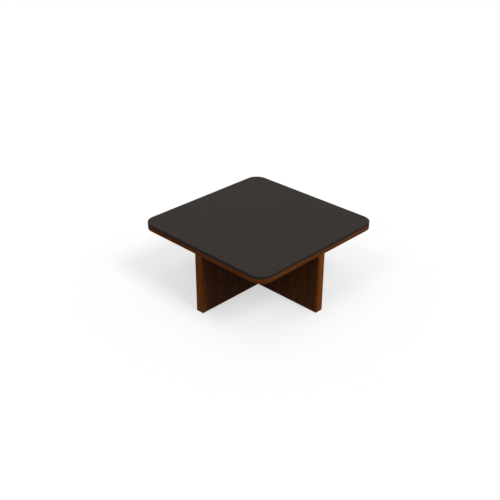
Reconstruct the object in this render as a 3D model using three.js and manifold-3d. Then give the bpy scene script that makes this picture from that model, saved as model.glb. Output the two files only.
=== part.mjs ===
// A square centre table: a charcoal top board on a walnut sub-top, carried by two
// hollow-core panels that cross in a halving joint and stand on press-in glides.
// Millimetres, +Z up. The origin lies on the floor, under the centre of the top,
// and the sides of the top run along X and Y.
import * as THREE from "three";
import { mergeVertices } from "three/addons/utils/BufferGeometryUtils.js";
import Module from "manifold-3d";

const wasm = await Module();
wasm.setup();

// Whole table
const tableSide = 1000;
const tableHeight = 430;
const topCornerRadius = 80;

// Top board, sub-top and the walnut band glued round the sub-top's edge
const topBoardThickness = 18;
const topBoardArris = 1.5;
const subtopThickness = 26;
const edgeBandThickness = 2;

// Crossing panels: two skins on a core of rails and stiles, with lippings at the ends
const skinThickness = 18;
const coreThickness = 18;
const railHeight = 60;
const endStileWidth = 60;
const cheekWidth = 40;
const sillHeight = 40;
const lippingThickness = 12;
const lippingArris = 2;
const skinArris = 1;

// Halving joint: the share of the panels' height that lies below the crossing
const crossingShare = 0.5;
const halvingSideGap = 0.3;
const halvingEndGap = 0.6;

// Press-in glides under the panels, measured from the table's edge and from the slot
const glideHeadRadius = 11;
const glideHeadHeight = 3;
const glideChamfer = 1;
const glideStemRadius = 4;
const glideStemLength = 14;
const glideEndInset = 50;
const glideSlotInset = 55;

// Machine screws down through the sub-top into threaded inserts in the upper rails
const insertRadius = 5;
const insertLength = 15;
const machineScrewRadius = 3;
const machineScrewHeadRadius = 6;
const machineScrewShortfall = 1.5;
const machineScrewEndInset = 90;
const machineScrewSlotInset = 110;

// Wood screws up through the sub-top into the top board
const woodScrewRadius = 2;
const woodScrewHeadRadius = 4.2;
const woodScrewBite = 12;
const woodScrewPointLength = 4;
const woodScrewEdgeInset = 110;
const woodScrewPanelInset = 110;

// Shared by all screws
const headSink = 0.5;
const headRim = 0.6;
const keyDepthShare = 0.7;
const keyWidthShare = 0.42;

// Clearance of a piece in its hole, and how far a cutter runs past the face it cuts
const fitGap = 0.3;
const cutOverrun = 2;

// Steps of the round shapes. An arc of an outline gets twice its number.
const cornerSteps = 6;
const arrisSteps = 2;
const glideSteps = 20;
const screwSteps = 12;
const keySides = 6;

const quarterTurn = Math.PI / 2;
const halfTurn = Math.PI;
const threeQuarterTurn = halfTurn + quarterTurn;
const fullTurn = 2 * Math.PI;

// Levels and widths that follow from the sizes above
const halfSide = tableSide / 2;
const topBoardLevel = tableHeight - topBoardThickness;
const panelTop = topBoardLevel - subtopThickness;
const panelBottom = glideHeadHeight;
const crossingLevel = panelBottom + (panelTop - panelBottom) * crossingShare;
const panelThickness = 2 * skinThickness + coreThickness;
const halfCore = coreThickness / 2;
const halfCoreLength = halfSide - lippingThickness;
const halfSlot = panelThickness / 2 + halvingSideGap;

// Finishes: each mesh gets a material of its own

const charcoalLacquer = () =>
  new THREE.MeshStandardMaterial({ color: "rgb(60, 55, 52)", roughness: 0.62, metalness: 0 });

const walnutVeneer = () =>
  new THREE.MeshStandardMaterial({ color: "rgb(88, 52, 28)", roughness: 0.5, metalness: 0 });

const solidWalnut = () =>
  new THREE.MeshStandardMaterial({ color: "rgb(96, 54, 27)", roughness: 0.52, metalness: 0 });

const plainPine = () =>
  new THREE.MeshStandardMaterial({ color: "rgb(204, 172, 124)", roughness: 0.75, metalness: 0 });

const zincSteel = () =>
  new THREE.MeshStandardMaterial({ color: "rgb(176, 178, 180)", roughness: 0.35, metalness: 1 });

const brass = () =>
  new THREE.MeshStandardMaterial({ color: "rgb(190, 152, 84)", roughness: 0.4, metalness: 1 });

const darkNylon = () =>
  new THREE.MeshStandardMaterial({ color: "rgb(38, 36, 35)", roughness: 0.6, metalness: 0 });

// Geometry helpers

function namedMesh(name, geometry, material) {
  const mesh = new THREE.Mesh(geometry, material);
  mesh.name = name;
  return mesh;
}

// A closed geometry as a solid that can be cut.
function solidFrom(geometry) {
  const bare = new THREE.BufferGeometry();
  const loose = geometry.index ? geometry.toNonIndexed() : geometry;
  bare.setAttribute("position", loose.getAttribute("position"));
  const merged = mergeVertices(bare);
  return new wasm.Manifold(
    new wasm.Mesh({
      numProp: 3,
      vertProperties: merged.getAttribute("position").array,
      triVerts: new Uint32Array(merged.index.array),
    }),
  );
}

function geometryFrom(solid) {
  const { vertProperties, triVerts } = solid.getMesh();
  const geometry = new THREE.BufferGeometry();
  geometry.setAttribute("position", new THREE.BufferAttribute(vertProperties, 3));
  geometry.setIndex(new THREE.BufferAttribute(triVerts, 1));
  const faceted = geometry.toNonIndexed();
  faceted.computeVertexNormals();
  return faceted;
}

function cutAway(geometry, cutters) {
  return geometryFrom(
    cutters.reduce((left, cutter) => left.subtract(solidFrom(cutter)), solidFrom(geometry)),
  );
}

// A box between two corners, each given as [x, y, z].
function boxBetween(low, high) {
  const size = high.map((value, axis) => value - low[axis]);
  const centre = high.map((value, axis) => (value + low[axis]) / 2);
  return new THREE.BoxGeometry(...size).translate(...centre);
}

// A solid of revolution about Z. The profile's points are [radius, height], upwards
// along the outside.
function turned(profile, steps) {
  const points = profile.map(([radius, height]) => new THREE.Vector2(radius, height));
  return new THREE.LatheGeometry(points, steps).rotateX(quarterTurn);
}

// A square with round corners, drawn anticlockwise on the given path.
function drawRoundedSquare(path, side, radius) {
  const middle = side / 2 - radius;
  path.absarc(middle, middle, radius, 0, quarterTurn);
  path.absarc(-middle, middle, radius, quarterTurn, halfTurn);
  path.absarc(-middle, -middle, radius, halfTurn, threeQuarterTurn);
  path.absarc(middle, -middle, radius, threeQuarterTurn, fullTurn);
  path.closePath();
  return path;
}

// Screws

// A countersunk screw that points up from z = 0, with its head's face at the bottom.
// A pointed one tapers over pointLength at its end.
function countersunkScrew({ radius, headRadius, length, pointLength }) {
  const coneTop = headRim + headRadius - radius;
  const shank = turned(
    [
      [0, 0],
      [headRadius, 0],
      [headRadius, headRim],
      [radius, coneTop],
      [radius, length - pointLength],
      [0, length],
    ],
    screwSteps,
  );
  const keyRadius = headRadius * keyWidthShare;
  const keyDepth = (headRadius - radius + headRim) * keyDepthShare;
  const key = new THREE.CylinderGeometry(keyRadius, keyRadius, keyDepth + cutOverrun, keySides)
    .rotateX(quarterTurn)
    .translate(0, 0, (keyDepth - cutOverrun) / 2);
  return cutAway(shank, [key]);
}

// The hole that such a screw needs, pointing up from the face it is sunk in.
function countersunkHole({ radius, headRadius }, depth) {
  const wideRadius = headRadius + fitGap;
  const narrowRadius = radius + fitGap;
  const coneStart = headSink + headRim;
  return turned(
    [
      [0, -cutOverrun],
      [wideRadius, -cutOverrun],
      [wideRadius, coneStart],
      [narrowRadius, coneStart + wideRadius - narrowRadius],
      [narrowRadius, depth],
      [0, depth],
    ],
    screwSteps,
  );
}

// A plain round hole from z = 0 down to the given depth.
function blindHole(radius, depth, steps) {
  return new THREE.CylinderGeometry(radius, radius, depth + cutOverrun, steps)
    .rotateX(quarterTurn)
    .translate(0, 0, (cutOverrun - depth) / 2);
}

const machineScrew = {
  radius: machineScrewRadius,
  headRadius: machineScrewHeadRadius,
  length: subtopThickness - headSink + insertLength - machineScrewShortfall,
  pointLength: 0,
};

const woodScrew = {
  radius: woodScrewRadius,
  headRadius: woodScrewHeadRadius,
  length: subtopThickness - headSink + woodScrewBite,
  pointLength: woodScrewPointLength,
};

// Places of the fasteners and glides

// Distances from the table's centre along a panel, on both sides of the crossing.
function placesAlongPanel(endInset, slotInset) {
  const far = halfSide - endInset;
  const near = halfSlot + slotInset;
  return [-far, -near, near, far];
}

const machineScrewPlaces = placesAlongPanel(machineScrewEndInset, machineScrewSlotInset);
const glidePlaces = placesAlongPanel(glideEndInset, glideSlotInset);

// Two wood screws in each of the four bays, as [x, y].
function woodScrewPlaces() {
  const far = halfSide - woodScrewEdgeInset;
  const near = panelThickness / 2 + woodScrewPanelInset;
  const places = [];
  for (const alongX of [-1, 1]) {
    for (const alongY of [-1, 1]) {
      places.push([alongX * far, alongY * near], [alongX * near, alongY * far]);
    }
  }
  return places;
}

// Top of the table

function makeTopBoard() {
  const outline = drawRoundedSquare(
    new THREE.Shape(),
    tableSide - 2 * topBoardArris,
    topCornerRadius - topBoardArris,
  );
  const board = new THREE.ExtrudeGeometry(outline, {
    depth: topBoardThickness - 2 * topBoardArris,
    curveSegments: cornerSteps,
    bevelSize: topBoardArris,
    bevelThickness: topBoardArris,
    bevelSegments: arrisSteps,
  }).translate(0, 0, topBoardLevel + topBoardArris);
  const pilotRadius = woodScrewRadius + fitGap;
  const pilots = woodScrewPlaces().map(([x, y]) =>
    blindHole(pilotRadius, woodScrewBite + fitGap, screwSteps)
      .rotateX(halfTurn)
      .translate(x, y, topBoardLevel),
  );
  return namedMesh("charcoal_top_board", cutAway(board, pilots), charcoalLacquer());
}

function makeSubtopBoard() {
  const outline = drawRoundedSquare(
    new THREE.Shape(),
    tableSide - 2 * edgeBandThickness,
    topCornerRadius - edgeBandThickness,
  );
  const board = new THREE.ExtrudeGeometry(outline, {
    depth: subtopThickness,
    curveSegments: cornerSteps,
    bevelEnabled: false,
  }).translate(0, 0, panelTop);
  const throughDepth = subtopThickness + cutOverrun;
  const upward = woodScrewPlaces().map(([x, y]) =>
    countersunkHole(woodScrew, throughDepth).translate(x, y, panelTop),
  );
  const downward = machineScrewPlaces.flatMap((place) =>
    [
      [place, 0],
      [0, place],
    ].map(([x, y]) =>
      countersunkHole(machineScrew, throughDepth).rotateX(halfTurn).translate(x, y, topBoardLevel),
    ),
  );
  const geometry = cutAway(board, [...upward, ...downward]);
  return namedMesh("walnut_subtop_board", geometry, walnutVeneer());
}

function makeEdgeBand() {
  const outline = drawRoundedSquare(new THREE.Shape(), tableSide, topCornerRadius);
  outline.holes.push(
    drawRoundedSquare(
      new THREE.Path(),
      tableSide - 2 * edgeBandThickness,
      topCornerRadius - edgeBandThickness,
    ),
  );
  const band = new THREE.ExtrudeGeometry(outline, {
    depth: subtopThickness,
    curveSegments: cornerSteps,
    bevelEnabled: false,
  }).translate(0, 0, panelTop);
  return namedMesh("subtop_edge_band", band, solidWalnut());
}

// One crossing panel, along X. The slot opens at the top or at the bottom edge.

function makeSkin(name, side, edges) {
  const { slottedEdge, wholeEdge, slotEnd } = edges;
  const outline = new THREE.Shape();
  outline.moveTo(-halfCoreLength, wholeEdge);
  outline.lineTo(halfCoreLength, wholeEdge);
  outline.lineTo(halfCoreLength, slottedEdge);
  outline.lineTo(halfSlot, slottedEdge);
  outline.lineTo(halfSlot, slotEnd);
  outline.lineTo(-halfSlot, slotEnd);
  outline.lineTo(-halfSlot, slottedEdge);
  outline.lineTo(-halfCoreLength, slottedEdge);
  outline.closePath();
  const innerFace = side * halfCore;
  const skin = new THREE.ExtrudeGeometry(outline, {
    depth: skinThickness,
    bevelEnabled: false,
  })
    .rotateX(quarterTurn)
    .translate(0, side > 0 ? innerFace + skinThickness : innerFace, 0);
  // The lower outer arris is taken off so that the veneer doesn't chip on the floor.
  const outerFace = side * (halfCore + skinThickness);
  const arrisWidth = skinArris * Math.SQRT2;
  const arris = new THREE.BoxGeometry(tableSide, arrisWidth, arrisWidth)
    .rotateX(quarterTurn / 2)
    .translate(0, outerFace, panelBottom);
  return namedMesh(name, cutAway(skin, [arris]), walnutVeneer());
}

function makeLipping(name, side) {
  const halfWidth = panelThickness / 2;
  const innerEnd = side * halfCoreLength;
  const outerEnd = side * halfSide;
  const corner = outerEnd - side * lippingArris;
  const outline = new THREE.Shape();
  outline.moveTo(innerEnd, -halfWidth);
  outline.lineTo(corner, -halfWidth);
  outline.quadraticCurveTo(outerEnd, -halfWidth, outerEnd, lippingArris - halfWidth);
  outline.lineTo(outerEnd, halfWidth - lippingArris);
  outline.quadraticCurveTo(outerEnd, halfWidth, corner, halfWidth);
  outline.lineTo(innerEnd, halfWidth);
  outline.closePath();
  const lipping = new THREE.ExtrudeGeometry(outline, {
    depth: panelTop - panelBottom,
    curveSegments: arrisSteps,
    bevelEnabled: false,
  }).translate(0, 0, panelBottom);
  return namedMesh(name, lipping, solidWalnut());
}

// A block of the core between two places along the panel and two levels.
function coreBlock(ends, levels) {
  const [fromX, toX] = [Math.min(...ends), Math.max(...ends)];
  const [fromZ, toZ] = [Math.min(...levels), Math.max(...levels)];
  return boxBetween([fromX, -halfCore, fromZ], [toX, halfCore, toZ]);
}

// Holes in the core's rails: for the threaded inserts along the top edge, and for the
// stems of the glides along the bottom edge.
function railHoles(level, places) {
  if (level === panelTop) {
    return places.map((place) =>
      blindHole(insertRadius + fitGap, insertLength + fitGap, screwSteps).translate(
        place,
        0,
        panelTop,
      ),
    );
  }
  return places.map((place) =>
    blindHole(glideStemRadius + fitGap, glideStemLength + fitGap, screwSteps)
      .rotateX(halfTurn)
      .translate(place, 0, panelBottom),
  );
}

function makePanel(panelName, slotOpensUp) {
  const panel = new THREE.Group();
  const inward = slotOpensUp ? -1 : 1;
  const slottedEdge = slotOpensUp ? panelTop : panelBottom;
  const wholeEdge = slotOpensUp ? panelBottom : panelTop;
  const slotEnd = crossingLevel + (inward * halvingEndGap) / 2;
  const wholeRailFace = wholeEdge - inward * railHeight;
  const halfRailFace = slottedEdge + inward * railHeight;
  const placesAt = (edge) => (edge === panelTop ? machineScrewPlaces : glidePlaces);

  const add = (pieceName, geometry) =>
    panel.add(namedMesh(`${panelName}_${pieceName}`, geometry, plainPine()));

  for (const [sideName, side] of [
    ["left", 1],
    ["right", -1],
  ]) {
    const edges = { slottedEdge, wholeEdge, slotEnd };
    panel.add(makeSkin(`${panelName}_${sideName}_skin`, side, edges));
  }

  add(
    "whole_rail",
    cutAway(
      coreBlock([-halfCoreLength, halfCoreLength], [wholeEdge, wholeRailFace]),
      railHoles(wholeEdge, placesAt(wholeEdge)),
    ),
  );
  add("slot_sill", coreBlock([-halfSlot, halfSlot], [slotEnd, slotEnd + inward * sillHeight]));

  for (const [endName, side] of [
    ["front", -1],
    ["back", 1],
  ]) {
    const slotSide = side * halfSlot;
    const coreEnd = side * halfCoreLength;
    const ownPlaces = placesAt(slottedEdge).filter((place) => place * side > 0);
    add(
      `${endName}_half_rail`,
      cutAway(
        coreBlock([slotSide, coreEnd], [slottedEdge, halfRailFace]),
        railHoles(slottedEdge, ownPlaces),
      ),
    );
    add(
      `${endName}_slot_cheek`,
      coreBlock([slotSide, slotSide + side * cheekWidth], [halfRailFace, wholeRailFace]),
    );
    add(
      `${endName}_end_stile`,
      coreBlock([coreEnd - side * endStileWidth, coreEnd], [halfRailFace, wholeRailFace]),
    );
    panel.add(makeLipping(`${panelName}_${endName}_lipping`, side));
  }
  return panel;
}

// Fasteners and glides

function makeMachineScrew(name, x, y) {
  const geometry = countersunkScrew(machineScrew)
    .rotateX(halfTurn)
    .translate(x, y, topBoardLevel - headSink);
  return namedMesh(name, geometry, zincSteel());
}

function makeInsert(name, x, y) {
  const bore = machineScrewRadius + fitGap;
  const profile = [
    [bore, 0],
    [insertRadius, 0],
    [insertRadius, insertLength],
    [bore, insertLength],
    [bore, 0],
  ];
  const geometry = turned(profile, screwSteps).translate(x, y, panelTop - insertLength);
  return namedMesh(name, geometry, brass());
}

function makeWoodScrew(name, x, y) {
  const geometry = countersunkScrew(woodScrew).translate(x, y, panelTop + headSink);
  return namedMesh(name, geometry, zincSteel());
}

function makeGlide(name, x, y) {
  const stemTop = glideHeadHeight + glideStemLength;
  const profile = [
    [0, 0],
    [glideHeadRadius - glideChamfer, 0],
    [glideHeadRadius, glideChamfer],
    [glideHeadRadius, glideHeadHeight],
    [glideStemRadius, glideHeadHeight],
    [glideStemRadius, stemTop - glideChamfer],
    [glideStemRadius - glideChamfer, stemTop],
    [0, stemTop],
  ];
  return namedMesh(name, turned(profile, glideSteps).translate(x, y, 0), darkNylon());
}

// The whole table

const table = new THREE.Group();
table.name = "center_table";
table.add(makeTopBoard(), makeSubtopBoard(), makeEdgeBand());

// Panel B stands along X. Panel A stands along Y, its front end at -Y.
const panelB = makePanel("panel_b", false);
const panelA = makePanel("panel_a", true);
panelA.rotation.z = quarterTurn;
table.add(panelA, panelB);

machineScrewPlaces.forEach((place, index) => {
  const number = index + 1;
  table.add(
    makeMachineScrew(`panel_a_machine_screw_${number}`, 0, place),
    makeInsert(`panel_a_insert_${number}`, 0, place),
    makeMachineScrew(`panel_b_machine_screw_${number}`, place, 0),
    makeInsert(`panel_b_insert_${number}`, place, 0),
  );
});

woodScrewPlaces().forEach(([x, y], index) => {
  table.add(makeWoodScrew(`top_wood_screw_${index + 1}`, x, y));
});

glidePlaces.forEach((place, index) => {
  const number = index + 1;
  table.add(
    makeGlide(`panel_a_glide_${number}`, 0, place),
    makeGlide(`panel_b_glide_${number}`, place, 0),
  );
});

export default table;
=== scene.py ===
"""A square center table: a charcoal top over a walnut sub-top, on two crossing walnut panels.

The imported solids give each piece's place and its main sizes. Each sub-assembly is a class
that models its pieces and dresses them, but for the panels' cores, which keep their solids.
The studio holds the floor, the light and the camera.
Metres, +Z up: panel B stands along X and panel A along Y, the front being at -X and -Y.
"""

import logging
import math
from collections.abc import Callable, Iterator, Sequence
from contextlib import contextmanager
from dataclasses import dataclass, field, replace
from enum import Enum

import bmesh
import bpy
from mathutils import Color, Matrix, Vector


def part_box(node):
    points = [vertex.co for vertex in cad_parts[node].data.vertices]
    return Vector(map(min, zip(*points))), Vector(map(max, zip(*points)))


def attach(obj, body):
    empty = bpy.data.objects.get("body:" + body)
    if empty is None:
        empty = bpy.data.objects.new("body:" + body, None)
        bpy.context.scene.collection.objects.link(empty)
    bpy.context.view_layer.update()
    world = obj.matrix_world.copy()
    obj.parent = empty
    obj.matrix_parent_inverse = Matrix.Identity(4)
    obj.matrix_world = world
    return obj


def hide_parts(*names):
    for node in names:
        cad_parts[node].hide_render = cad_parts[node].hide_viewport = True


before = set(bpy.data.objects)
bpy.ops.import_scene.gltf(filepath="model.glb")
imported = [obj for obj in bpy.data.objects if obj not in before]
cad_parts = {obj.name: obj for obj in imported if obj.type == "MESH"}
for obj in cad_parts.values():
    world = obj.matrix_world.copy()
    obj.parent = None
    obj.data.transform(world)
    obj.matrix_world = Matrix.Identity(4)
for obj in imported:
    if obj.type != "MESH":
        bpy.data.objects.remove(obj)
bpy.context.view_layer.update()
LOG = logging.getLogger("center_table")

Piece = bpy.types.Object
Material = bpy.types.Material
Node = bpy.types.Node
NodeTree = bpy.types.NodeTree
Socket = bpy.types.NodeSocket
Edge = bmesh.types.BMEdge
Face = bmesh.types.BMFace
Test = Callable[[Edge | Face], bool]
Colour = tuple[float, float, float, float]
Number = float | Socket
Shade = Colour | Socket

MM = 0.001
FULL_CHANNEL = 255
ROOT = "root"
PANELS = ("panel_a", "panel_b")
PER_PANEL = 4
WOOD_SCREW_COUNT = 8
WOOD_SCREWS = [f"top_wood_screw_{number}" for number in range(1, WOOD_SCREW_COUNT + 1)]
AXES = [Vector(row) for row in Matrix.Identity(3)]
UP_AXIS = 2
QUARTER_TURN = math.pi / 2
SMOOTH_ANGLE = math.radians(30)
SHARP_ANGLE = math.radians(60)
FACING = 0.99
TOUCHING = 0.02 * MM
HAIRLINE = 0.3 * MM
CUT_OVERRUN = 2 * MM
CORNER_SEGMENTS = 28
ARRIS_SEGMENTS = 4
FINE_SEGMENTS = 3
SMALL_SEGMENTS = 2


class Select(Enum):
    """What is picked in edit mode, as Blender's switches for vertices, edges and faces."""

    EDGES = (False, True, False)
    FACES = (False, False, True)


class GrainRun(Enum):
    """Which axes lie across the grain: 1 across it, 0 along it."""

    UPRIGHT = (1.0, 1.0, 0.0)
    ALONG_X = (0.0, 1.0, 1.0)
    ALONG_Y = (1.0, 0.0, 1.0)
    AROUND = (0.0, 0.0, 1.0)


class PanelRun(Enum):
    """The axis that a crossing panel stands along."""

    ALONG_X = 0
    ALONG_Y = 1


class SlotEdge(Enum):
    """The edge of a panel at which its halving slot opens."""

    TOP = "top"
    BOTTOM = "bottom"


def srgb(red: float, green: float, blue: float) -> Colour:
    """A display colour, 0 to 255 a channel, as Blender's linear colour.

    Args:
        red: Red channel.
        green: Green channel.
        blue: Blue channel.

    Returns:
        Linear red, green and blue, and an alpha of 1.
    """
    shown = Color(channel / FULL_CHANNEL for channel in (red, green, blue))
    return (*shown.from_srgb_to_scene_linear(), 1.0)


# Modelling by hand


def clear_selection() -> None:
    """Leaves edit mode and deselects every object."""
    active = bpy.context.view_layer.objects.active
    if active is not None and active.mode != "OBJECT":
        bpy.ops.object.mode_set(mode="OBJECT")
    bpy.ops.object.select_all(action="DESELECT")


def make_active(piece: Piece) -> None:
    """Selects one object alone and makes it the active one.

    Args:
        piece: The object.
    """
    clear_selection()
    piece.select_set(True)
    bpy.context.view_layer.objects.active = piece


def keep_new(name: str, scale: Sequence[float] = (1, 1, 1)) -> Piece:
    """Names the primitive that was just added and puts its place and size into its mesh.

    Args:
        name: The piece's name.
        scale: Its size along each axis, for a primitive of size 1.

    Returns:
        The new object, at the origin, unturned and unscaled.
    """
    piece = bpy.context.view_layer.objects.active
    piece.name = piece.data.name = name
    piece.scale = scale
    bpy.ops.object.transform_apply(location=True, rotation=True, scale=True)
    return piece


def put(piece: Piece, place: Vector, upside_down: bool = False) -> Piece:
    """Moves a piece modelled at the origin to its place, which goes into its mesh.

    Args:
        piece: The piece.
        place: Where its origin goes.
        upside_down: Whether it is turned over first.

    Returns:
        The same piece.
    """
    piece.rotation_euler.x = math.pi if upside_down else 0
    piece.location = place
    make_active(piece)
    bpy.ops.object.transform_apply(location=True, rotation=True, scale=True)
    return piece


def copy_to(template: Piece, name: str, place: Vector) -> Piece:
    """Copies a piece modelled at the origin to its place, with a mesh of its own.

    Args:
        template: The finished piece at the origin.
        name: The copy's name.
        place: Where the template's origin goes.

    Returns:
        The copy.
    """
    make_active(template)
    bpy.ops.object.duplicate(linked=False)
    copy = bpy.context.view_layer.objects.active
    copy.name = copy.data.name = name
    return put(copy, place)


@contextmanager
def editing(piece: Piece) -> Iterator[None]:
    """Holds a piece in edit mode with nothing selected.

    Args:
        piece: The piece.

    Yields:
        Nothing.
    """
    make_active(piece)
    bpy.ops.object.mode_set(mode="EDIT")
    bpy.ops.mesh.select_all(action="DESELECT")
    yield
    bpy.ops.object.mode_set(mode="OBJECT")


def pick(piece: Piece, kind: Select, test: Test) -> None:
    """Selects the parts of a mesh in edit mode that a test accepts.

    Args:
        piece: The object in edit mode.
        kind: Whether edges or faces are tested.
        test: Takes an edge or a face and says whether it is wanted.
    """
    bpy.context.tool_settings.mesh_select_mode = kind.value
    bpy.ops.mesh.select_all(action="DESELECT")
    shape = bmesh.from_edit_mesh(piece.data)
    for part in shape.edges if kind is Select.EDGES else shape.faces:
        if test(part):
            part.select_set(True)
    bmesh.update_edit_mesh(piece.data)


def near(first: float, second: float) -> bool:
    """Whether two lengths are the same, but for rounding."""
    return abs(first - second) < TOUCHING


def both_ends(test: Callable[[Vector], bool]) -> Test:
    """Turns a test of a point into a test of an edge's two ends."""
    return lambda edge: all(test(vertex.co) for vertex in edge.verts)


def rim(level: float) -> Test:
    """A test for the edges that lie at a level."""
    return both_ends(lambda point: near(point.z, level))


def is_level(face: Face) -> bool:
    """Whether a face lies flat, as a lid or a floor does."""
    return abs(face.normal.z) > FACING


def flat_lid(level: float) -> Test:
    """A test for the flat faces at a level."""
    return lambda face: is_level(face) and near(face.calc_center_median().z, level)


def bevel_edges(piece: Piece, test: Test, width: float, segments: int) -> None:
    """Rounds the edges that a test accepts, of a piece in edit mode."""
    pick(piece, Select.EDGES, test)
    bpy.ops.mesh.bevel(offset=width, segments=segments, affect="EDGES", offset_type="OFFSET")


def inset_lid(piece: Piece, level: float, thickness: float) -> None:
    """Insets the flat faces at a level and leaves them selected, on a piece in edit mode."""
    pick(piece, Select.FACES, flat_lid(level))
    bpy.ops.mesh.inset(thickness=thickness, depth=0)


def draw_out(reach: Sequence[float]) -> None:
    """Extrudes what is selected by a vector."""
    bpy.ops.mesh.extrude_region_move(TRANSFORM_OT_translate={"value": tuple(reach)})


def turn_outwards() -> None:
    """Points every face of the piece in edit mode outwards."""
    bpy.ops.mesh.select_all(action="SELECT")
    bpy.ops.mesh.normals_make_consistent(inside=False)


def turned(name: str, profile: Sequence[tuple[float, float]], segments: int) -> Piece:
    """A round piece drawn up from a disc, ring by ring, on the Z axis.

    Args:
        name: The piece's name.
        profile: Radius and level of each ring, from the lowest; a radius of 0 is a point.
        segments: How many sides it has.

    Returns:
        The piece.
    """
    (radius, level), *rings = profile
    clear_selection()
    bpy.ops.mesh.primitive_circle_add(
        vertices=segments, radius=radius, fill_type="NGON", location=(0, 0, level)
    )
    piece = keep_new(name)
    with editing(piece):
        bpy.ops.mesh.select_all(action="SELECT")
        for next_radius, next_level in rings:
            draw_out((0, 0, next_level - level))
            if next_radius > 0:
                bpy.ops.transform.resize(value=(next_radius / radius, next_radius / radius, 1))
            else:
                bpy.ops.mesh.merge(type="CENTER")
            radius, level = next_radius, next_level
        turn_outwards()
    return piece


def round_board(name: str, side: float, radius: float, low: float, high: float) -> Piece:
    """A square board with round corners: a plane, its corners rounded, drawn up.

    Args:
        name: The piece's name.
        side: Across the flats.
        radius: Of the corners.
        low: Level of the underside.
        high: Level of the upper face.

    Returns:
        The board, with square edges.
    """
    clear_selection()
    bpy.ops.mesh.primitive_plane_add(size=side, location=(0, 0, low))
    board = keep_new(name)
    with editing(board):
        bpy.ops.mesh.select_all(action="SELECT")
        bpy.ops.mesh.bevel(
            offset=radius, segments=CORNER_SEGMENTS, affect="VERTICES", offset_type="OFFSET"
        )
        bpy.ops.mesh.select_all(action="SELECT")
        draw_out((0, 0, high - low))
        turn_outwards()
    return board


def apply_modifier(piece: Piece, kind: str, **settings: object) -> None:
    """Adds a modifier, sets it and applies it.

    Args:
        piece: The object that takes it.
        kind: Blender's name of the modifier type.
        settings: The modifier's own settings.
    """
    make_active(piece)
    modifier = piece.modifiers.new(kind.lower(), kind)
    for setting, value in settings.items():
        setattr(modifier, setting, value)
    bpy.ops.object.modifier_apply(modifier=modifier.name)


def soften_edges(piece: Piece, width: float, segments: int = SMALL_SEGMENTS) -> None:
    """Takes the sharpness off every edge that is still square.

    Args:
        piece: The piece.
        width: Of the bevel.
        segments: Of the bevel.
    """
    apply_modifier(
        piece,
        "BEVEL",
        width=width,
        segments=segments,
        limit_method="ANGLE",
        angle_limit=SHARP_ANGLE,
    )


def smooth_over(piece: Piece) -> None:
    """Shades the round parts smooth and keeps the flat faces flat.

    Args:
        piece: The piece.
    """
    make_active(piece)
    bpy.ops.object.shade_smooth_by_angle(angle=SMOOTH_ANGLE)
    apply_modifier(piece, "WEIGHTED_NORMAL", keep_sharp=True)


def cut_with(piece: Piece, cutters: Sequence[Piece]) -> None:
    """Cuts a piece with other objects, which are used up.

    Args:
        piece: The object that is cut.
        cutters: Closed objects that don't touch one another.
    """
    make_active(cutters[0])
    for cutter in cutters:
        cutter.select_set(True)
    if len(cutters) > 1:
        bpy.ops.object.join()
    tool = bpy.context.view_layer.objects.active
    apply_modifier(piece, "BOOLEAN", operation="DIFFERENCE", solver="EXACT", object=tool)
    bpy.data.objects.remove(tool)


# Finishes


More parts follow.
